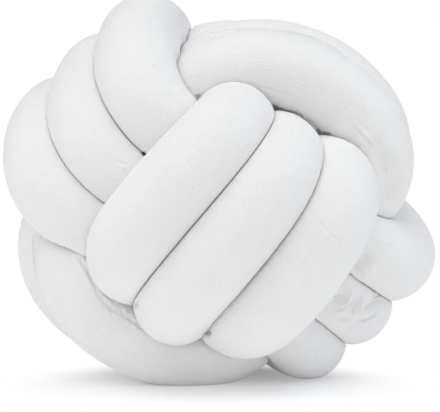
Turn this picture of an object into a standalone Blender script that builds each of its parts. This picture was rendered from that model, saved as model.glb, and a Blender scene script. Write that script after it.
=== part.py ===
"""Knot cushion: one long stuffed tube wound into a three-turn ball knot.

The tube makes three groups of three turns, each round its own axis, and the groups
are woven: the front turns cross over the side turns, the side turns cross over the
ring turns, and the ring turns cross over the front turns. Both ends are tucked into
the ball. Where two passes press on each other, the soft tube flattens between them.
Metres, +Z up, the knot's front faces -Y, standing on z = 0.
"""

import math
from collections import namedtuple

import bmesh
import bpy
import numpy as np

# ---- driving dimensions ----
SPACING = 0.0427          # from one turn to the next in a group; the tables are in spacings
TUBE_RADIUS = 0.0265      # of the stuffed tube where nothing presses on it
STRAND_GAP = 0.0013       # left open between two passes that press on each other
SETTLE = 0.0070           # how far the lowest passes are flattened by the weight on them
STATION_STEP = 0.0152     # from one ring of the solid to the next, along the tube
SIDES = 16                # points in each ring
END_ROUND = 0.018         # length over which a tucked end rounds off

# ---- the knot's own axes, as directions in the part's frame ----
FRONT = (0.12, -0.99, -0.08)     # square to the front face of the ball
CLIMB = (0.60, 0.01, 0.79)       # along the front strands, up to the right

# ---- winding tables: one row for each turn ----
# A turn crosses one face of the ball (near), dives under the next group, crosses the
# opposite face (far) and dives again. enter and leave are its places across the group
# as it comes onto a face and goes off it, reach is how far out it lies there, and
# shift slides that crossing along its own direction.
Turn = namedtuple("Turn", "near_enter near_leave near_reach near_shift "
                          "far_enter far_leave far_reach far_shift")

SIDE_TURNS = (
    Turn(-1.02, -0.75, 2.32, 0.00, -1.29, -0.34, 2.64, 0.00),
    Turn(0.05, -0.05, 2.55, 0.00, -0.47, 0.50, 2.50, 0.00),
    Turn(1.10, 0.77, 2.69, 0.00, 0.50, 1.28, 2.36, 0.00),
)
FRONT_TURNS = (
    Turn(0.89, 0.88, 2.45, 0.20, 0.95, 0.95, 2.40, 0.00),
    Turn(-0.06, 0.02, 2.60, -0.16, 0.00, 0.00, 2.60, 0.00),
    Turn(-0.90, -0.78, 2.45, -0.13, -1.00, -1.00, 2.40, 0.00),
)
RING_TURNS = (
    Turn(0.85, 1.15, 2.26, 0.10, 1.10, 1.15, 2.22, -0.08),
    Turn(-0.10, 0.15, 2.44, 0.20, 0.10, 0.10, 2.37, -0.30),
    Turn(-0.90, -0.90, 2.15, 0.00, -0.90, -0.90, 2.43, -0.10),
)

# ---- shape of a group's loops, in spacings ----
# A turn comes onto its near face at near_start degrees and onto its far face at
# far_start. depth is how far out it lies where it dives under its neighbours, for the
# middle turn and for the outer two; square fills the loop's corners on the faces it
# crosses and waist fills them where it dives; spread fans the group out on its own faces
# and squeeze draws it together where it dives; lean skews the loop.
Loop = namedtuple("Loop", "near_start far_start depth_middle depth_outer "
                          "square waist spread squeeze lean")

SIDE_LOOP = Loop(-45, 120, 1.50, 1.35, 0.10, 0.20, 0.10, 0.20, 0.00)
FRONT_LOOP = Loop(-25, 135, 1.20, 1.04, 0.15, 0.27, 0.20, 0.20, 0.00)
RING_LOOP = Loop(-45, 135, 1.35, 1.30, -0.10, 0.30, 0.00, 0.25, 0.24)

# ---- passes inside the ball, in spacings along (across, climb, front) ----
TAIL_IN = ((0.30, 0.45, -0.35), (0.55, 0.05, -0.55), (0.85, -0.45, -0.95))
SIDE_TO_FRONT = ((-1.45, 1.00, -1.40), (-0.75, 0.75, -0.85), (-0.10, 0.45, 0.00), (0.45, -0.40, 0.50))
FRONT_TO_RING = ((-0.75, -0.70, -0.95), (-0.50, 0.10, -0.45), (-0.70, 0.55, 0.35))
TAIL_OUT = ((-1.00, -0.75, -0.35), (-0.45, -0.60, 0.00), (-0.10, -0.50, 0.20))

# ---- how finely the winding is worked out ----
TURN_STEP = 10            # degrees between the points of a turn
GROUP_START = -60         # degrees, where the first turn of a group is picked up
GROUP_END = 960           # degrees, where the last one is let go
SIDE_END = 930            # the side group is let go earlier, to clear the front turns
NEAR_END = 45             # degrees, where a turn goes off its near face
FACE_TURN = 90            # degrees that it takes to cross its far face
CURVE_STEPS = 6           # points worked out between two points of the winding
CONTACT_STEP = 0.08       # spacings between the points that neighbours are felt at
OWN_LENGTH = 1.3          # spacings of its own length that a ring doesn't feel
FEEL_REACH = 1.6          # spacings out to which a ring feels its neighbours
PRESS_POWER = 12          # how tightly a section fills the room it has
PLANE_SHARE = 0.85        # how near a ring may come to the planes of the rings beside it
RINGS_BESIDE = 3          # rings on each side whose planes it keeps clear of
START_ACROSS = (0.3, 0.5, 0.8)   # well off the tube's first direction
NO_BEND = 1e-18           # squared change of direction that counts as none
FACING_AWAY = 1e-9        # metres towards a pass that a ring point faces away from
MEETING = 1e-12           # slope to the plane of a ring beside, times its distance, that meets it

# ---- the plush ----
PLUSH_COLOUR = (0.87, 0.88, 0.89)
PLUSH_ROUGHNESS = 0.9


def unit(vector):
    vector = np.array(vector, dtype=float)
    return vector / np.linalg.norm(vector)


def eased(at, stops, values):
    """Values at the stops, joined by level-ended curves."""
    index = min(max(np.searchsorted(stops, at) - 1, 0), len(stops) - 2)
    share = (at - stops[index]) / (stops[index + 1] - stops[index])
    share = min(max(share, 0.0), 1.0)
    share = share * share * (3 - 2 * share)
    return values[index] + (values[index + 1] - values[index]) * share


def wind_group(turns, loop, stack, over, under, end=GROUP_END):
    """Points of one group's turns, in spacings along the knot's axes."""
    place_stops, places = [], []
    reach_stops, reaches, shifts = [], [], []
    for number, turn in enumerate(turns):
        base = 360 * number
        place_stops += [base + loop.near_start, base + NEAR_END,
                        base + loop.far_start, base + loop.far_start + FACE_TURN]
        places += [turn.near_enter, turn.near_leave, turn.far_enter, turn.far_leave]
        reach_stops += [base, base + 180]
        reaches += [turn.near_reach, turn.far_reach]
        shifts += [turn.near_shift, turn.far_shift]
    points = []
    for degrees in range(GROUP_START, end + 1, TURN_STEP):
        angle = math.radians(degrees)
        place = eased(degrees, place_stops, places)
        place *= 1 + loop.spread * math.cos(angle) ** 2 - loop.squeeze * math.sin(angle) ** 4
        reach = eased(degrees, reach_stops, reaches)
        shift = eased(degrees, reach_stops, shifts)
        outer = min(1.0, abs(place)) ** 2
        depth = loop.depth_middle + (loop.depth_outer - loop.depth_middle) * outer
        out = (reach + loop.square) * math.cos(angle) - loop.square * math.cos(3 * angle)
        out += loop.lean * math.sin(angle)
        along = (depth + loop.waist) * math.sin(angle) + loop.waist * math.sin(3 * angle) + shift
        points.append(over * out + under * along + stack * place)
    return points


def smooth_curve(points):
    """A smooth curve through the points, paced by the distance between them."""
    points = np.array(points)
    points = np.vstack([2 * points[0] - points[1], points, 2 * points[-1] - points[-2]])
    pieces = []
    for first, second, third, fourth in zip(points, points[1:], points[2:], points[3:]):
        times = [0.0]
        for start, end in ((first, second), (second, third), (third, fourth)):
            times.append(times[-1] + np.linalg.norm(end - start) ** 0.5)
        now = np.linspace(times[1], times[2], CURVE_STEPS, endpoint=False)[:, None]

        def between(start, end, begin, finish):
            return (start * (finish - now) + end * (now - begin)) / (finish - begin)

        low = between(first, second, times[0], times[1])
        middle = between(second, third, times[1], times[2])
        high = between(third, fourth, times[2], times[3])
        pieces.append(between(between(low, middle, times[0], times[2]),
                              between(middle, high, times[1], times[3]), times[1], times[2]))
    pieces.append(points[-2][None])
    return np.vstack(pieces)


def lengths_along(points):
    steps = np.linalg.norm(np.diff(points, axis=0), axis=1)
    return np.concatenate([[0.0], np.cumsum(steps)])


def even_points(points, step):
    """The same curve with points about one step apart."""
    along = lengths_along(points)
    wanted = np.linspace(0.0, along[-1], round(along[-1] / step) + 1)
    return np.stack([np.interp(wanted, along, points[:, axis]) for axis in range(3)], axis=1)


def carried_frames(points):
    """Direction of the tube at each point, and two across it that turn no more than they must."""
    ahead = np.gradient(points, axis=0)
    ahead /= np.linalg.norm(ahead, axis=1, keepdims=True)
    first = np.zeros_like(points)
    first[0] = unit(np.cross(ahead[0], unit(START_ACROSS)))
    for index in range(1, len(points)):
        step = points[index] - points[index - 1]
        mirrored = first[index - 1] - 2 * (step @ first[index - 1]) / (step @ step) * step
        flipped = ahead[index - 1] - 2 * (step @ ahead[index - 1]) / (step @ step) * step
        second = ahead[index] - flipped
        if second @ second > NO_BEND:
            mirrored = mirrored - 2 * (second @ mirrored) / (second @ second) * second
        first[index] = unit(mirrored - (mirrored @ ahead[index]) * ahead[index])
    return ahead, first, np.cross(ahead, first)


def pressed_sections(points, felt, radius, gap, sides):
    """Ring points round each station, flattened halfway to every other pass."""
    ahead, first, second = carried_frames(points)
    at = lengths_along(points)
    felt_at = lengths_along(felt)
    felt_at *= at[-1] / felt_at[-1]
    turn = np.arange(sides) * 2 * math.pi / sides
    rings = []
    for index, centre in enumerate(points):
        round_it = np.cos(turn)[:, None] * first[index] + np.sin(turn)[:, None] * second[index]
        offset = felt - centre
        apart = (offset * offset).sum(axis=1)
        near = (apart < (FEEL_REACH * SPACING) ** 2)
        near &= np.abs(felt_at - at[index]) > OWN_LENGTH * SPACING
        room = np.full(sides, np.inf)
        if near.any():
            toward = round_it @ offset[near].T
            toward = np.where(toward > FACING_AWAY, toward, FACING_AWAY)
            room = (apart[near] / (2 * toward)).min(axis=1) - gap / 2
        for beside in range(max(0, index - RINGS_BESIDE), min(len(points), index + RINGS_BESIDE + 1)):
            if beside != index:
                height = (points[beside] - centre) @ ahead[beside]
                slope = round_it @ ahead[beside]
                meets = slope * height > MEETING
                reach = np.where(meets, height / np.where(meets, slope, 1.0), np.inf)
                room = np.minimum(room, PLANE_SHARE * reach)
        distance = (radius ** -PRESS_POWER + room ** -PRESS_POWER) ** (-1 / PRESS_POWER)
        from_end = min(at[index], at[-1] - at[index]) / END_ROUND
        if from_end < 1:
            distance = distance * math.sqrt(max(1 - (1 - from_end) ** 2, 0.0))
        rings.append(centre + distance[:, None] * round_it)
    return rings


def knot_route():
    """The tube's centre line from end to end, in metres, in the part's frame."""
    across, climb, front = np.eye(3)
    side = wind_group(SIDE_TURNS, SIDE_LOOP, climb, across, front, SIDE_END)
    facing = wind_group(FRONT_TURNS, FRONT_LOOP, across, front, climb)
    ring = wind_group(RING_TURNS, RING_LOOP, front, climb, across)
    route = smooth_curve([*TAIL_IN, *side, *SIDE_TO_FRONT, *facing, *FRONT_TO_RING, *ring, *TAIL_OUT])
    front_axis = unit(FRONT)
    climb_axis = unit(np.array(CLIMB) - np.dot(CLIMB, front_axis) * front_axis)
    axes = np.array([np.cross(climb_axis, front_axis), climb_axis, front_axis])
    return route @ axes * SPACING


def tube_object(name, rings, ends, material):
    """A closed tube through the rings, with a point at each end."""
    mesh = bpy.data.meshes.new(name)
    shape = bmesh.new()
    loops = [[shape.verts.new(point) for point in ring] for ring in rings]
    for loop, following in zip(loops, loops[1:]):
        for side in range(SIDES):
            after = (side + 1) % SIDES
            shape.faces.new((loop[side], loop[after], following[after], following[side]))
    for loop, end, order in ((loops[0], ends[0], -1), (loops[-1], ends[1], 1)):
        tip = shape.verts.new(end)
        for side in range(SIDES):
            pair = (loop[side], loop[(side + 1) % SIDES])[::order]
            shape.faces.new((*pair, tip))
    bmesh.ops.recalc_face_normals(shape, faces=shape.faces)
    bmesh.ops.triangulate(shape, faces=shape.faces)
    shape.to_mesh(mesh)
    shape.free()
    mesh.shade_smooth()
    mesh.materials.append(material)
    piece = bpy.data.objects.new(name, mesh)
    bpy.context.collection.objects.link(piece)
    return piece


def plush(name, colour, roughness):
    material = bpy.data.materials.new(name)
    material.use_nodes = True
    shader = material.node_tree.nodes["Principled BSDF"]
    shader.inputs["Base Color"].default_value = (*colour, 1.0)
    shader.inputs["Roughness"].default_value = roughness
    shader.inputs["Metallic"].default_value = 0.0
    return material


def set_down(rings, ends):
    """Stands the knot on z = 0, flat where it touches, with its box centred over the origin."""
    everything = np.vstack(rings)
    low, high = everything.min(axis=0), everything.max(axis=0)
    middle = np.array([(low[0] + high[0]) / 2, (low[1] + high[1]) / 2, low[2] + SETTLE])
    placed = []
    for ring in rings:
        ring = ring - middle
        ring[:, 2] = np.maximum(ring[:, 2], 0.0)
        placed.append(ring)
    return placed, [end - middle for end in ends]


for old in list(bpy.data.objects):
    bpy.data.objects.remove(old, do_unlink=True)

route = knot_route()
stations = even_points(route, STATION_STEP)
felt = even_points(route, CONTACT_STEP * SPACING)
rings = pressed_sections(stations, felt, TUBE_RADIUS, STRAND_GAP, SIDES)
rings, ends = set_down(rings[1:-1], (stations[0], stations[-1]))
white_plush = plush("white_plush", PLUSH_COLOUR, PLUSH_ROUGHNESS)
knotted_tube = tube_object("knotted_tube", rings, ends, white_plush)
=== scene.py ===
import math
from collections import namedtuple

import bmesh
import bpy
import numpy as np
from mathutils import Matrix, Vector
from mathutils import noise
from mathutils.bvhtree import BVHTree


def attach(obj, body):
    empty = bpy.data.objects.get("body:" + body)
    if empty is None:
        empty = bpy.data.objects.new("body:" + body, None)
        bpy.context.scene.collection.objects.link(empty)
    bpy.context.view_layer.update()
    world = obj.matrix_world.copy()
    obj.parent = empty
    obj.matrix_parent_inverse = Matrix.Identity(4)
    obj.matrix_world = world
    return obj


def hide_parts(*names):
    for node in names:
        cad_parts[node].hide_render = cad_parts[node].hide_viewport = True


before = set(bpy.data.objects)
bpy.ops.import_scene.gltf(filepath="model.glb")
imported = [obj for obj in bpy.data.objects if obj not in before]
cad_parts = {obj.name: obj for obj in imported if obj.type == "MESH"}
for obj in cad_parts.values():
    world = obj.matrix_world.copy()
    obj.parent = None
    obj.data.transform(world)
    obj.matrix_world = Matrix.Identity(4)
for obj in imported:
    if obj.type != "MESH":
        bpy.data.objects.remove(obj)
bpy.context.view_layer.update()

# ---------------------------------------------------------------------------
# The winding. The cushion is one long stuffed tube, wound by hand into a ball knot:
# three side turns, three front turns and three ring turns, each group woven over the
# next. Both ends are tucked inside, so nothing is sewn on.
# ---------------------------------------------------------------------------
SPACING = 0.0427          # metres from one turn to the next; the tables are in spacings
TUBE_RADIUS = 0.0265      # of the stuffed tube where nothing presses on it
FRONT = (0.12, -0.99, -0.08)     # square to the ball's front face
CLIMB = (0.60, 0.01, 0.79)       # along the front strands, up to the right

# A turn crosses the near face of its group and then the far one. On each face it enters
# and leaves at a place across the group, stands out from the ball's middle by its reach,
# and is shifted along its own run.
Turn = namedtuple("Turn", "near_enter near_leave near_reach near_shift "
                          "far_enter far_leave far_reach far_shift")
SIDE_TURNS = (
    Turn(-1.02, -0.71, 2.32, 0.00, -1.29, -0.34, 2.64, 0.00),
    Turn(0.05, 0.00, 2.55, 0.00, -0.47, 0.50, 2.50, 0.00),
    Turn(1.08, 0.78, 2.67, 0.00, 0.50, 1.28, 2.36, 0.00),
)
FRONT_TURNS = (
    Turn(0.89, 0.83, 2.45, 0.15, 0.95, 0.95, 2.40, 0.00),
    Turn(-0.06, 0.02, 2.60, -0.16, 0.00, 0.00, 2.60, 0.00),
    Turn(-0.90, -0.78, 2.45, -0.13, -1.00, -1.00, 2.40, 0.00),
)
RING_TURNS = (
    Turn(0.85, 1.15, 2.26, 0.10, 1.10, 1.15, 2.22, -0.08),
    Turn(-0.10, 0.15, 2.44, 0.20, 0.10, 0.10, 2.37, -0.30),
    Turn(-0.90, -0.90, 2.15, 0.00, -0.90, -0.90, 2.43, -0.10),
)
# How the turns of a group run: the degrees at which they start to cross each face, how deep
# the middle and the outer turns are, how square and how waisted they are, how far they
# spread on the faces, how far they are squeezed at the sides, and how far they lean.
Loop = namedtuple("Loop", "near_start far_start depth_middle depth_outer square waist spread squeeze lean")
SIDE_LOOP = Loop(-45, 120, 1.50, 1.35, 0.10, 0.20, 0.10, 0.20, 0.00)
FRONT_LOOP = Loop(-25, 135, 1.20, 1.04, 0.15, 0.27, 0.20, 0.20, 0.00)
RING_LOOP = Loop(-45, 135, 1.35, 1.30, -0.10, 0.30, 0.00, 0.25, 0.24)
# Where the tube passes inside the ball, before, between and after the groups: across, along
# the climb and to the front.
TAIL_IN = ((0.30, 0.45, -0.35), (0.55, 0.05, -0.55), (0.85, -0.45, -0.95))
SIDE_TO_FRONT = ((-1.45, 1.00, -1.40), (-0.75, 0.75, -0.85), (-0.10, 0.45, 0.00), (0.45, -0.40, 0.50))
FRONT_TO_RING = ((-0.75, -0.70, -0.95), (-0.50, 0.10, -0.45), (-0.70, 0.55, 0.35))
TAIL_OUT = ((-1.00, -0.75, -0.35), (-0.45, -0.60, 0.00), (-0.10, -0.50, 0.20))
TURN_STEP = 10            # degrees between the points of a turn
GROUP_START = -60         # degrees round the first turn; 0 is square to its near face
GROUP_END = 960           # the same, for the last point of the third turn
SIDE_END = 930            # which is a little sooner on the side turns
CURVE_STEPS = 6           # of the curve from one point to the next
NEAR_END = 45             # degrees at which a turn has crossed the near face
FACE_TURN = 90            # degrees that it takes to cross the far face


def unit(vector):
    vector = np.array(vector, dtype=float)
    return vector / np.linalg.norm(vector)


def eased(at, stops, values):
    """Values at the stops, joined by level-ended curves."""
    index = min(max(np.searchsorted(stops, at) - 1, 0), len(stops) - 2)
    share = (at - stops[index]) / (stops[index + 1] - stops[index])
    share = min(max(share, 0.0), 1.0)
    share = share * share * (3 - 2 * share)
    return values[index] + (values[index + 1] - values[index]) * share


def wind_group(turns, loop, stack, over, under, end=GROUP_END):
    """Points of one group's turns, in spacings along the knot's axes."""
    place_stops, places = [], []
    reach_stops, reaches, shifts = [], [], []
    for number, turn in enumerate(turns):
        base = 360 * number
        place_stops += [base + loop.near_start, base + NEAR_END,
                        base + loop.far_start, base + loop.far_start + FACE_TURN]
        places += [turn.near_enter, turn.near_leave, turn.far_enter, turn.far_leave]
        reach_stops += [base, base + 180]
        reaches += [turn.near_reach, turn.far_reach]
        shifts += [turn.near_shift, turn.far_shift]
    points = []
    for degrees in range(GROUP_START, end + 1, TURN_STEP):
        angle = math.radians(degrees)
        place = eased(degrees, place_stops, places)
        place *= 1 + loop.spread * math.cos(angle) ** 2 - loop.squeeze * math.sin(angle) ** 4
        reach = eased(degrees, reach_stops, reaches)
        shift = eased(degrees, reach_stops, shifts)
        outer = min(1.0, abs(place)) ** 2
        depth = loop.depth_middle + (loop.depth_outer - loop.depth_middle) * outer
        out = (reach + loop.square) * math.cos(angle) - loop.square * math.cos(3 * angle)
        out += loop.lean * math.sin(angle)
        along = (depth + loop.waist) * math.sin(angle) + loop.waist * math.sin(3 * angle) + shift
        points.append(over * out + under * along + stack * place)
    return points


def smooth_curve(points):
    """A smooth curve through the points, paced by the distance between them."""
    points = np.array(points)
    points = np.vstack([2 * points[0] - points[1], points, 2 * points[-1] - points[-2]])
    parts = []
    for first, second, third, fourth in zip(points, points[1:], points[2:], points[3:]):
        times = [0.0]
        for start, end in ((first, second), (second, third), (third, fourth)):
            times.append(times[-1] + np.linalg.norm(end - start) ** 0.5)
        now = np.linspace(times[1], times[2], CURVE_STEPS, endpoint=False)[:, None]

        def between(start, end, begin, finish):
            return (start * (finish - now) + end * (now - begin)) / (finish - begin)

        low = between(first, second, times[0], times[1])
        middle = between(second, third, times[1], times[2])
        high = between(third, fourth, times[2], times[3])
        parts.append(between(between(low, middle, times[0], times[2]),
                             between(middle, high, times[1], times[3]), times[1], times[2]))
    parts.append(points[-2][None])
    return np.vstack(parts)


def points_along(points, step):
    """The same curve with points a step apart, where step may differ from point to point."""
    step = np.broadcast_to(step, len(points))
    lengths = np.linalg.norm(np.diff(points, axis=0), axis=1)
    counted = np.concatenate([[0.0], np.cumsum(2 * lengths / (step[1:] + step[:-1]))])
    wanted = np.linspace(0.0, counted[-1], round(counted[-1]) + 1)
    return np.stack([np.interp(wanted, counted, points[:, axis]) for axis in range(3)], axis=1)


def lengths_along(points):
    """The length of the curve up to each of its points."""
    steps = np.linalg.norm(np.diff(points, axis=0), axis=1)
    return np.concatenate([[0.0], np.cumsum(steps)])


def knot_route():
    """The tube's centre line from end to end, in metres, about the knot's own centre."""
    across, climb, front = np.eye(3)
    side = wind_group(SIDE_TURNS, SIDE_LOOP, climb, across, front, SIDE_END)
    facing = wind_group(FRONT_TURNS, FRONT_LOOP, across, front, climb)
    ring = wind_group(RING_TURNS, RING_LOOP, front, climb, across)
    route = smooth_curve([*TAIL_IN, *side, *SIDE_TO_FRONT, *facing, *FRONT_TO_RING, *ring, *TAIL_OUT])
    front_axis = unit(FRONT)
    climb_axis = unit(np.array(CLIMB) - np.dot(CLIMB, front_axis) * front_axis)
    axes = np.array([np.cross(climb_axis, front_axis), climb_axis, front_axis])
    return route @ axes * SPACING


# ---------------------------------------------------------------------------
# The stuffing, which presses the passes of the tube flat against each other. A ring of
# the sleeve is round where nothing touches it, and stops halfway to any pass that it
# meets. The lowest passes are flattened a little by the weight on them.
# ---------------------------------------------------------------------------
PILE_GAP = 0.0003         # between two passes that press on each other
SETTLE = 0.0070           # how far the lowest passes are flattened by the weight on them
END_ROUND = 0.018         # length over which a tucked end rounds off
SHOWN_STEP = 0.0039       # from ring to ring on the passes that show
HIDDEN_STEP = 0.0105      # and inside the ball
SHOWN_FROM = 1.85 * SPACING      # from the ball's middle, where passes begin to show
HIDDEN_TO = 1.45 * SPACING       # where they are out of sight
SHOWN_POINTS = 20         # of a ring, on each side of its outermost point
SHOWN_TURN = math.radians(80)    # the part of the ring that they cover
HIDDEN_POINTS = 9         # on each side of its innermost point
OUTWARD_BLEND = 0.025     # length over which the rings turn to face outward
FEEL_STEP = 0.0022        # between the points that a neighbouring pass is felt at
OWN_LENGTH = 1.3 * SPACING       # of its own tube that a ring doesn't feel
FEEL_REACH = 1.6 * SPACING       # out to which a ring feels its neighbours
PRESS_POWER = 50          # how tightly the plush fills the room it has
PLANE_SHARE = 0.85        # how near a ring may come to the planes of the rings beside it
START_ACROSS = (0.3, 0.5, 0.8)   # well off the tube's first direction
NO_BEND = 1e-18           # squared change of direction that counts as none
FACING_AWAY = 1e-9        # metres towards a pass that a ring point faces away from
MEETING = 1e-12           # slope to the plane of a ring beside, times its distance, that meets it
# size of the stuffing's lumps, and the share of the radius that they swell it by
LUMPS = ((0.042, 0.016), (0.019, 0.008), (0.008, 0.0016))


def carried_frames(points):
    """Direction of the tube at each point, and two across it that turn no more than they must."""
    ahead = np.gradient(points, axis=0)
    ahead /= np.linalg.norm(ahead, axis=1, keepdims=True)
    first = np.zeros_like(points)
    first[0] = unit(np.cross(ahead[0], unit(START_ACROSS)))
    for index in range(1, len(points)):
        step = points[index] - points[index - 1]
        mirrored = first[index - 1] - 2 * (step @ first[index - 1]) / (step @ step) * step
        flipped = ahead[index - 1] - 2 * (step @ ahead[index - 1]) / (step @ step) * step
        second = ahead[index] - flipped
        if second @ second > NO_BEND:
            mirrored = mirrored - 2 * (second @ mirrored) / (second @ second) * second
        first[index] = unit(mirrored - (mirrored @ ahead[index]) * ahead[index])
    return ahead, first, np.cross(ahead, first)


def outward_frames(points):
    """The carried frames, turned so that the first direction across faces out of the ball."""
    ahead, first, second = carried_frames(points)
    outward = points / SPACING
    lean = (outward * first).sum(axis=1) + 1j * (outward * second).sum(axis=1)
    at = lengths_along(points)
    blend = np.exp(-((at[:, None] - at) / OUTWARD_BLEND) ** 2) * np.gradient(at)
    lean = blend @ (lean * np.abs(lean))
    lean /= np.abs(lean)
    out = lean.real[:, None] * first + lean.imag[:, None] * second
    return ahead, out, np.cross(ahead, out)


def stuffed_radius(centre, direction):
    """The tube's radius in a direction, with the stuffing's soft lumps."""
    skin = centre + TUBE_RADIUS * direction
    swell = sum(share * noise.noise(Vector(skin / size)) for size, share in LUMPS)
    return TUBE_RADIUS * (1 + swell)


def pressed_rings(points, felt, turns):
    """Ring points round each station, flattened halfway to every other pass."""
    ahead, out, aside = outward_frames(points)
    at = lengths_along(points)
    felt_at = lengths_along(felt)
    felt_at *= at[-1] / felt_at[-1]
    rings = []
    for index, centre in enumerate(points):
        round_it = np.cos(turns)[:, None] * out[index] + np.sin(turns)[:, None] * aside[index]
        offset = felt - centre
        apart = (offset * offset).sum(axis=1)
        near = (apart < FEEL_REACH ** 2) & (np.abs(felt_at - at[index]) > OWN_LENGTH)
        room = np.full(len(turns), np.inf)
        if near.any():
            toward = np.maximum(round_it @ offset[near].T, FACING_AWAY)
            room = (apart[near] / (2 * toward)).min(axis=1) - PILE_GAP / 2
        beside = np.flatnonzero((np.abs(at - at[index]) < TUBE_RADIUS) & (at != at[index]))
        heights = ((points[beside] - centre) * ahead[beside]).sum(axis=1)
        slopes = round_it @ ahead[beside].T
        meets = slopes * heights > MEETING
        reach = np.where(meets, heights / np.where(meets, slopes, 1.0), np.inf).min(axis=1)
        room = np.minimum(room, PLANE_SHARE * reach)
        radius = np.array([stuffed_radius(centre, direction) for direction in round_it])
        distance = (radius ** -PRESS_POWER + room ** -PRESS_POWER) ** (-1 / PRESS_POWER)
        from_end = min(at[index], at[-1] - at[index]) / END_ROUND
        if from_end < 1:
            distance = distance * math.sqrt(max(1 - (1 - from_end) ** 2, 0.0))
        rings.append(centre + distance[:, None] * round_it)
    return rings


route = knot_route()
# The rings are close together where the tube shows, and so are their points on its outer side.
outness = np.linalg.norm(route, axis=1)
stations = points_along(route, np.interp(outness, (HIDDEN_TO, SHOWN_FROM), (HIDDEN_STEP, SHOWN_STEP)))
half = np.concatenate([np.linspace(0.0, SHOWN_TURN, SHOWN_POINTS + 1),
                       np.linspace(SHOWN_TURN, math.pi, HIDDEN_POINTS + 1)[1:]])
ring_turns = np.concatenate([half, -half[-2:0:-1]])
# The first and last rings have rounded off to a point, so they are left out.
rings = pressed_rings(stations, points_along(route, FEEL_STEP), ring_turns)[1:-1]
skin = np.vstack(rings)
low, high = skin.min(axis=0), skin.max(axis=0)
knot_centre = -np.array([(low[0] + high[0]) / 2, (low[1] + high[1]) / 2, low[2] + SETTLE])
rings = [ring + knot_centre for ring in rings]
ends = stations[0] + knot_centre, stations[-1] + knot_centre

# ---------------------------------------------------------------------------
# The camera, which looks down a little at the cushion, as in the photograph. It stands
# here because the folds below are placed where it sees them.
# ---------------------------------------------------------------------------
PHOTO_WIDTH = 440
PHOTO_HEIGHT = 412
PIXELS_PER_SPACING = 66.0
CAMERA_AWAY = 30.0 * SPACING     # from the knot's centre
CAMERA_CLIMB = math.radians(5)   # above the level
CENTRE_PIXEL = (216, 200)        # where the knot's centre is in the photograph
SENSOR = 36.0                    # millimetres across

right = np.array([1.0, 0.0, 0.0])
up = np.array([0.0, math.sin(CAMERA_CLIMB), math.cos(CAMERA_CLIMB)])
back = np.array([0.0, -math.cos(CAMERA_CLIMB), math.sin(CAMERA_CLIMB)])
pixel = SPACING / PIXELS_PER_SPACING     # metres at the knot's centre
eye = (knot_centre + back * CAMERA_AWAY + right * (PHOTO_WIDTH / 2 - CENTRE_PIXEL[0]) * pixel
       - up * (PHOTO_HEIGHT / 2 - CENTRE_PIXEL[1]) * pixel)
camera_data = bpy.data.cameras.new("camera")
camera_data.sensor_width = SENSOR
camera_data.lens = SENSOR * CAMERA_AWAY / (PHOTO_WIDTH * pixel)
camera = bpy.data.objects.new("camera", camera_data)
camera.location = eye
camera.rotation_euler = (math.pi / 2 - CAMERA_CLIMB, 0.0, 0.0)
bpy.context.collection.objects.link(camera)
bpy.context.scene.camera = camera
bpy.context.scene.view_settings.view_transform = "Standard"

# ---------------------------------------------------------------------------
# The plush tube. A sleeve of short-pile plush, stuffed so full that its passes press
# flat against each other in thin dark lines. It is one piece: the rings above joined
# into a skin, which is made finer where the plush is folded and then pushed in there.
# ---------------------------------------------------------------------------
Fold = namedtuple("Fold", "from_x from_y by_x by_y to_x to_y width depth")
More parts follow.
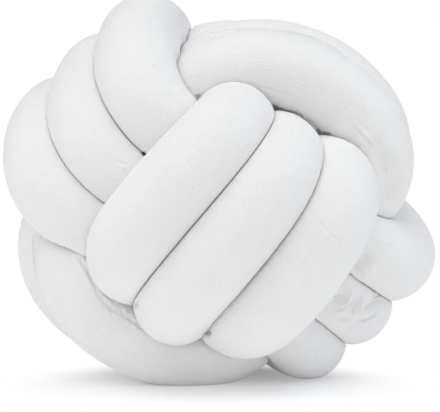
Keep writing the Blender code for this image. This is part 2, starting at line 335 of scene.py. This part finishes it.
# Folds in the plush: where each starts, bends and ends, in the photograph's pixels, with
# its width and depth in millimetres. A fold with a depth below zero is a ridge.
FOLDS = (
    # the crinkled stub, second from the right
    Fold(352, 317, 355, 307, 360, 298, 1.0, 2.4),
    Fold(356, 314, 360, 305, 363, 298, 0.9, -1.9),
    Fold(345, 310, 351, 304, 354, 297, 0.9, 1.4),
    Fold(340, 306, 346, 301, 351, 294, 0.9, -1.0),
    Fold(364, 313, 372, 304, 382, 299, 1.0, 2.2),
    Fold(367, 317, 376, 309, 385, 304, 1.1, -1.9),
    Fold(370, 302, 376, 297, 382, 295, 1.0, 1.1),
    Fold(356, 321, 366, 320, 378, 313, 1.0, 1.8),
    Fold(334, 304, 344, 303, 350, 297, 1.2, -1.4),
    Fold(336, 310, 344, 308, 350, 302, 0.9, 1.6),
    Fold(330, 297, 338, 297, 346, 296, 0.9, 1.1),
    Fold(334, 318, 342, 320, 350, 319, 1.0, 1.2),
    Fold(345, 327, 355, 328, 366, 323, 1.3, -1.0),
    Fold(372, 322, 378, 319, 383, 313, 1.2, 0.7),
    Fold(326, 311, 338, 299, 348, 284, 3.5, 2.0),
    # the stub at the right, first where it sinks under the front strand
    Fold(354, 273, 362, 262, 373, 248, 4.0, 3.6),
    Fold(350, 275, 358, 280, 368, 286, 1.2, -0.7),
    Fold(352, 264, 358, 268, 362, 276, 1.1, 0.7),
    Fold(364, 258, 368, 266, 367, 275, 1.1, 0.6),
    Fold(385, 242, 391, 244, 397, 249, 1.2, -0.5),
    Fold(395, 270, 402, 273, 408, 279, 1.5, 0.5),
    # the lowest stub
    Fold(305, 345, 312, 352, 316, 362, 1.5, 0.5),
    # the front strand at the right
    Fold(320, 222, 328, 232, 343, 246, 0.9, 0.4),
    Fold(311, 245, 321, 239, 334, 229, 1.6, -0.35),
    Fold(286, 300, 300, 297, 318, 290, 2.0, 0.5),
    Fold(268, 318, 276, 322, 282, 332, 1.8, 0.5),
    # the side strands
    Fold(116, 160, 122, 164, 128, 163, 1.0, 0.5),
    Fold(120, 172, 124, 166, 124, 158, 1.0, -0.4),
    Fold(147, 64, 152, 66, 157, 68, 0.9, 0.4),
    # the sleeve's long seam, where it shows along the inner edge of the ring
    Fold(243, 83, 262, 87, 281, 94, 0.9, 0.5),
    Fold(281, 94, 292, 97, 303, 103, 0.8, 0.5),
    Fold(350, 124, 362, 135, 373, 150, 0.9, 0.8),
    Fold(355, 124, 367, 135, 377, 149, 0.9, -0.5),
    Fold(384, 172, 387, 190, 387, 204, 0.9, 0.7),
    Fold(388, 176, 391, 190, 391, 200, 0.9, -0.4),
    Fold(78, 257, 88, 272, 97, 291, 1.1, 1.2),
    Fold(97, 291, 106, 304, 118, 312, 1.2, 0.8),
    Fold(118, 312, 134, 322, 150, 336, 1.3, 0.6),
    # where the ring sinks behind the front strand at the right
    Fold(376, 150, 388, 172, 391, 203, 4.5, 3.0),
    # small gathers across the long seam
    Fold(104, 300, 110, 307, 112, 315, 1.0, 0.5),
    Fold(120, 304, 123, 313, 122, 320, 1.0, 0.5),
    Fold(128, 310, 131, 321, 129, 329, 1.0, 0.5),
    Fold(137, 316, 139, 325, 137, 333, 1.0, 0.5),
)
# Hollows where three strands meet: the same, each running along the gap between them.
HOLLOWS = (
    Fold(197, 99, 198, 100, 199, 99, 1.6, 3.0),
    Fold(273, 108, 276, 110, 279, 110, 1.6, 4.5),
    Fold(281, 111, 290, 112, 300, 116, 0.8, 1.2),
    Fold(300, 116, 311, 121, 319, 130, 0.8, 1.2),
    Fold(319, 131, 322, 134, 325, 135, 1.6, 4.5),
    Fold(135, 304, 137, 305, 138, 306, 1.3, 2.6),
    Fold(205, 330, 208, 331, 211, 332, 1.5, 3.2),
    Fold(145, 153, 146, 154, 147, 154, 1.2, 2.2),
    # the thin line between the front two turns of the ring, at the top and at the left
    Fold(205, 36, 243, 31, 290, 34, 0.8, 1.2),
    Fold(290, 34, 325, 45, 352, 65, 0.8, 1.2),
    Fold(352, 65, 377, 89, 392, 112, 0.8, 1.2),
    Fold(36, 237, 37, 265, 45, 294, 0.8, 1.1),
    Fold(45, 294, 53, 309, 64, 323, 0.8, 1.1),
)
FOLD_SAMPLES = 25         # places along a fold that the camera looks for
SHOULDER = 0.35           # of a fold's depth, raised beside it
SHOULDER_AT = 1.9         # widths from its line
SHOULDER_WIDTH = 0.8
FOLD_REACH = 3.2          # widths from its line, where a fold has faded out
FOLD_FADE = 0.6           # how quickly a fold deepens from its ends
FOLD_END = 0.06           # share of a fold's length, at each end, that fades no further
HOLLOW_LOOK = 2.0         # pixels round a hollow's line within which the deepest skin is taken
FINER_UNDER = (3.0, 1.8, 1.15)   # a fold narrower than each of these has its skin halved once more
FINER_WIDTHS = 2.1        # of the fold, on each side of its line, that are made finer
FINER_MARGIN = 0.0007     # metres beyond them
MILLIMETRE = 0.001

# The skin. Each point keeps its length along the tube, and each corner its place along and
# round it, which the nap follows.
shape = bmesh.new()
lengthwise = shape.verts.layers.float.new("lengthwise")
grain = shape.loops.layers.uv.new("along_round")
loops = [[shape.verts.new(point) for point in ring] for ring in rings]
station_at = lengths_along(stations)[1:-1]
sides = len(ring_turns)
round_at = np.append(np.unwrap(ring_turns), 2 * math.pi) * TUBE_RADIUS
for loop, at in zip(loops, station_at):
    for vertex in loop:
        vertex[lengthwise] = at
for row, (loop, following) in enumerate(zip(loops, loops[1:])):
    for side in range(sides):
        after = (side + 1) % sides
        face = shape.faces.new((loop[side], loop[after], following[after], following[side]))
        for corner, (step_on, step_round) in zip(face.loops, ((0, 0), (0, 1), (1, 1), (1, 0))):
            corner[grain].uv = (station_at[row + step_on], round_at[side + step_round])
for loop, end, order in ((loops[0], ends[0], -1), (loops[-1], ends[1], 1)):
    tip = shape.verts.new(end)
    tip[lengthwise] = loop[0][lengthwise]
    for side in range(sides):
        pair = (loop[side], loop[(side + 1) % sides])[::order]
        shape.faces.new((*pair, tip))
for vertex in shape.verts:
    vertex.co.z = max(vertex.co.z, 0.0)
bmesh.ops.recalc_face_normals(shape, faces=shape.faces)
shape.faces.ensure_lookup_table()
skin_tree = BVHTree.FromBMesh(shape)
Seen = namedtuple("Seen", "place lengthwise away")


def seen_at(x, y):
    """The skin that the camera sees at a pixel of the photograph, or None."""
    ray = (right * (x - CENTRE_PIXEL[0]) - up * (y - CENTRE_PIXEL[1])) * pixel + knot_centre - eye
    place, _, face, away = skin_tree.ray_cast(Vector(eye), Vector(unit(ray)))
    if place is None:
        return None
    return Seen(np.array(place), shape.faces[face].verts[0][lengthwise], away)


Line = namedtuple("Line", "fold places shares lengthwise own")


def line_under(fold, own):
    """Where a fold lies on the skin: on its own strand alone, or in the gap between strands."""
    start, by, end = np.array(fold[:6], dtype=float).reshape(3, 2)
    control = 2 * by - (start + end) / 2
    looks = ((0.0, 0.0),) if own else ((0.0, 0.0), (HOLLOW_LOOK, 0.0), (-HOLLOW_LOOK, 0.0),
                                       (0.0, HOLLOW_LOOK), (0.0, -HOLLOW_LOOK))
    found = []
    for share in np.linspace(0, 1, FOLD_SAMPLES):
        x, y = start * (1 - share) ** 2 + control * 2 * share * (1 - share) + end * share ** 2
        seen = [seen_at(x + beside, y + below) for beside, below in looks]
        seen = [hit for hit in seen if hit]
        if seen:
            found.append((share, max(seen, key=lambda hit: hit.away)))
    middle = np.median([hit.lengthwise for _, hit in found])
    if own:
        found = [(share, hit) for share, hit in found if abs(hit.lengthwise - middle) < SPACING]
    return Line(fold, np.array([hit.place for _, hit in found]),
                np.array([share for share, _ in found]), middle, own)


lines = [line_under(fold, True) for fold in FOLDS] + [line_under(fold, False) for fold in HOLLOWS]

# The skin is made finer beside the narrow folds, so that there is room for them to form.
for limit in FINER_UNDER:
    narrow = [line for line in lines if line.fold.width < limit]
    places = np.vstack([line.places for line in narrow])
    reach = [line.fold.width * MILLIMETRE * FINER_WIDTHS + FINER_MARGIN for line in narrow]
    reach = np.repeat(reach, [len(line.places) for line in narrow])
    shape.faces.ensure_lookup_table()
    centres = np.array([face.calc_center_median() for face in shape.faces])
    low, high = places.min(axis=0) - reach.max(), places.max(axis=0) + reach.max()
    edges = set()
    for index in np.flatnonzero(((centres > low) & (centres < high)).all(axis=1)):
        if (((places - centres[index]) ** 2).sum(axis=1) < reach ** 2).any():
            edges.update(shape.faces[index].edges)
    bmesh.ops.subdivide_edges(shape, edges=list(edges), cuts=1, use_grid_fill=True)
    bmesh.ops.triangulate(shape, faces=[face for face in shape.faces if len(face.verts) > 4])

# Each fold and hollow then presses the skin in along its normals.
shape.normal_update()
places = np.array([vertex.co for vertex in shape.verts])
normals = np.array([vertex.normal for vertex in shape.verts])
vertex_at = np.array([vertex[lengthwise] for vertex in shape.verts])
sunk = np.zeros(len(places))
for line in lines:
    width = line.fold.width * MILLIMETRE
    middle = line.places.mean(axis=0)
    extent = np.linalg.norm(line.places - middle, axis=1).max() + FOLD_REACH * width
    near = np.linalg.norm(places - middle, axis=1) < extent
    if line.own:
        near &= np.abs(vertex_at - line.lengthwise) < SPACING
    near = np.flatnonzero(near)
    apart = np.linalg.norm(places[near][:, None] - line.places, axis=2)
    widths = apart.min(axis=1) / width
    trough = np.exp(-widths ** 2)
    if line.own:
        trough -= SHOULDER * np.exp(-((widths - SHOULDER_AT) / SHOULDER_WIDTH) ** 2)
        share = np.clip(line.shares[apart.argmin(axis=1)], FOLD_END, 1 - FOLD_END)
        trough *= np.sin(np.pi * share) ** FOLD_FADE
    sunk[near] += line.fold.depth * MILLIMETRE * trough
for vertex, place, normal, depth in zip(shape.verts, places, normals, sunk):
    if depth:
        vertex.co = place - normal * depth
        vertex.co.z = max(vertex.co.z, 0.0)

tube_mesh = bpy.data.meshes.new("plush_tube")
shape.to_mesh(tube_mesh)
shape.free()
tube_mesh.shade_smooth()
plush_tube = bpy.data.objects.new("plush_tube", tube_mesh)
bpy.context.collection.objects.link(plush_tube)

# White plush: matt, with a fine nap combed along the tube, and a faint unevenness of tone.
TUFT = 0.0012             # across one tuft of the nap
STREAK_LONG = 0.014
STREAK_WIDE = 0.0016
PATCH = 0.022             # across a slightly lighter or darker patch
PATCH_SHARE = 0.5         # of the tone that comes from the patches, and the rest from the tufts
# Two tones of the plush's own colour, mixed at random by the nap's noise, not by how light falls.
DARKER_TONE = (0.84, 0.84, 0.84, 1.0)
LIGHTER_TONE = (0.91, 0.91, 0.905, 1.0)
SPECULAR = 0.5
SMOOTHEST = 0.50          # roughness where the nap lies flat
ROUGHEST = 0.64           # and where it stands up
TUFT_HEIGHT = 0.0005
STREAK_HEIGHT = 0.0004

plush = bpy.data.materials.new("white_plush")
plush.use_nodes = True
nodes, links = plush.node_tree.nodes, plush.node_tree.links
shader = nodes["Principled BSDF"]
shader.inputs["Specular IOR Level"].default_value = SPECULAR


def nap_noise(scale, place):
    """Soft noise at a scale, read at a place on the plush."""
    texture = nodes.new("ShaderNodeTexNoise")
    texture.inputs["Scale"].default_value = scale
    links.new(place, texture.inputs["Vector"])
    return texture.outputs["Fac"]


def nap_bump(heights, height):
    """A bump of the nap's heights."""
    bump = nodes.new("ShaderNodeBump")
    bump.inputs["Distance"].default_value = height
    links.new(heights, bump.inputs["Height"])
    return bump


where = nodes.new("ShaderNodeTexCoord")
combed = nodes.new("ShaderNodeMapping")
combed.inputs["Scale"].default_value = (1 / STREAK_LONG, 1 / STREAK_WIDE, 1.0)
links.new(where.outputs["UV"], combed.inputs["Vector"])
tufts = nap_noise(1 / TUFT, where.outputs["Object"])
patches = nap_noise(1 / PATCH, where.outputs["Object"])
streaks = nap_noise(1.0, combed.outputs["Vector"])

tone = nodes.new("ShaderNodeMix")
tone.inputs["Factor"].default_value = PATCH_SHARE
links.new(tufts, tone.inputs["A"])
links.new(patches, tone.inputs["B"])
colour = nodes.new("ShaderNodeMix")
colour.data_type = "RGBA"
colour.inputs["A"].default_value = DARKER_TONE
colour.inputs["B"].default_value = LIGHTER_TONE
links.new(tone.outputs["Result"], colour.inputs["Factor"])
links.new(colour.outputs["Result"], shader.inputs["Base Color"])

roughness = nodes.new("ShaderNodeMapRange")
roughness.inputs["To Min"].default_value = SMOOTHEST
roughness.inputs["To Max"].default_value = ROUGHEST
links.new(patches, roughness.inputs["Value"])
links.new(roughness.outputs["Result"], shader.inputs["Roughness"])

tuft_bump = nap_bump(tufts, TUFT_HEIGHT)
streak_bump = nap_bump(streaks, STREAK_HEIGHT)
links.new(tuft_bump.outputs["Normal"], streak_bump.inputs["Normal"])
links.new(streak_bump.outputs["Normal"], shader.inputs["Normal"])
tube_mesh.materials.append(plush)

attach(plush_tube, "root")
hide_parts("knotted_tube")

# ---------------------------------------------------------------------------
# The table: plain white paper under large soft lights, a cool one from the right and
# a warm one from the left. Beyond the cushion's own shadow the camera sees the paper
# as pure white, as the photograph does: a painted white glow, seen only by the camera,
# covers the paper there and paints out the lamps' real shadows.
# ---------------------------------------------------------------------------
PAPER_SIZE = 6.0
PAPER_COLOUR = (0.94, 0.94, 0.94, 1.0)
PAPER_ROUGHNESS = 0.9
PAPER_GLOW = 0.105        # faint, as if the paper were lit a little from below
WHITE = (1.0, 1.0, 1.0, 1.0)
# The real shadow is kept within an ellipse round the cushion; beyond it the camera sees a painted white
# glow instead of the paper's own shading.
SHADOW_CENTRE = (-0.008, -0.055, 0.0)
SHADOW_REACH = (0.135, 0.095, 1.0)
SHADOW_CORE = 0.6         # share of that reach where the painted white glow starts to grow
PAINTED_GLOW_IN_SHADOW = 0.12       # share of painted white glow laid over the real shadow before that

bpy.ops.mesh.primitive_plane_add(size=PAPER_SIZE, location=(0.0, 0.0, 0.0))
floor = bpy.context.active_object
floor.name = "white_floor"
paper = bpy.data.materials.new("white_paper")
paper.use_nodes = True
paper_nodes, paper_links = paper.node_tree.nodes, paper.node_tree.links
paper_shader = paper_nodes["Principled BSDF"]
paper_shader.inputs["Base Color"].default_value = PAPER_COLOUR
paper_shader.inputs["Roughness"].default_value = PAPER_ROUGHNESS
paper_shader.inputs["Emission Color"].default_value = WHITE
paper_shader.inputs["Emission Strength"].default_value = PAPER_GLOW
paper_where = paper_nodes.new("ShaderNodeTexCoord")
shadow_area = paper_nodes.new("ShaderNodeMapping")
shadow_area.vector_type = "TEXTURE"
shadow_area.inputs["Location"].default_value = SHADOW_CENTRE
shadow_area.inputs["Scale"].default_value = SHADOW_REACH
paper_links.new(paper_where.outputs["Object"], shadow_area.inputs["Vector"])
from_shadow = paper_nodes.new("ShaderNodeVectorMath")
from_shadow.operation = "LENGTH"
paper_links.new(shadow_area.outputs["Vector"], from_shadow.inputs[0])
# Painted light: the share of a plain white glow, seen only by camera rays, that is laid over the paper's
# real shading, low in the shadow and full beyond it.
painted_glow_share = paper_nodes.new("ShaderNodeMapRange")
painted_glow_share.interpolation_type = "SMOOTHSTEP"
painted_glow_share.inputs["From Min"].default_value = SHADOW_CORE
painted_glow_share.inputs["To Min"].default_value = PAINTED_GLOW_IN_SHADOW
paper_links.new(from_shadow.outputs["Value"], painted_glow_share.inputs["Value"])
camera_painted_glow = paper_nodes.new("ShaderNodeMath")
camera_painted_glow.operation = "MULTIPLY"
paper_links.new(painted_glow_share.outputs["Result"], camera_painted_glow.inputs[0])
paper_links.new(paper_nodes.new("ShaderNodeLightPath").outputs["Is Camera Ray"], camera_painted_glow.inputs[1])
painted_white_glow = paper_nodes.new("ShaderNodeMixShader")
paper_links.new(camera_painted_glow.outputs["Value"], painted_white_glow.inputs["Fac"])
paper_links.new(paper_shader.outputs["BSDF"], painted_white_glow.inputs[1])
paper_links.new(paper_nodes.new("ShaderNodeEmission").outputs["Emission"], painted_white_glow.inputs[2])
paper_links.new(painted_white_glow.outputs["Shader"], paper_nodes["Material Output"].inputs["Surface"])
floor.data.materials.append(paper)

SOFTNESS = 1.0            # radians that each light spans, as a large softbox does
# Where each light stands, in degrees round from the front and above the table.
SoftLight = namedtuple("SoftLight", "azimuth elevation strength colour")
SOFT_LIGHTS = {
    "right": SoftLight(90, 36, 0.88, (0.93, 0.97, 1.06)),
    "left": SoftLight(-90, 36, 0.76, (1.00, 1.00, 0.96)),
    "top": SoftLight(0, 75, 1.14, (1.00, 1.00, 1.00)),
    "front": SoftLight(-20, 35, 0.50, (1.00, 1.00, 1.00)),
}
SKY = 0.24                # how bright the studio is beyond the lights

for name, softbox in SOFT_LIGHTS.items():
    light = bpy.data.lights.new(name, "SUN")
    light.angle = SOFTNESS
    light.energy = softbox.strength
    light.color = softbox.colour
    azimuth, elevation = math.radians(softbox.azimuth), math.radians(softbox.elevation)
    toward = Vector((math.sin(azimuth) * math.cos(elevation), -math.cos(azimuth) * math.cos(elevation),
                     math.sin(elevation)))
    lamp = bpy.data.objects.new(name, light)
    lamp.rotation_euler = toward.to_track_quat("Z", "Y").to_euler()
    bpy.context.collection.objects.link(lamp)

# The cushion sees a grey studio, and the camera sees a white one behind it.
world = bpy.data.worlds.new("studio")
bpy.context.scene.world = world
world.use_nodes = True
sky_nodes, sky_links = world.node_tree.nodes, world.node_tree.links
sky_nodes["Background"].inputs["Color"].default_value = (SKY, SKY, SKY, 1.0)
backdrop = sky_nodes.new("ShaderNodeBackground")
backdrop.inputs["Color"].default_value = WHITE
chooser = sky_nodes.new("ShaderNodeMixShader")
sky_links.new(sky_nodes.new("ShaderNodeLightPath").outputs["Is Camera Ray"], chooser.inputs["Fac"])
sky_links.new(sky_nodes["Background"].outputs["Background"], chooser.inputs[1])
sky_links.new(backdrop.outputs["Background"], chooser.inputs[2])
sky_links.new(chooser.outputs["Shader"], sky_nodes["World Output"].inputs["Surface"])
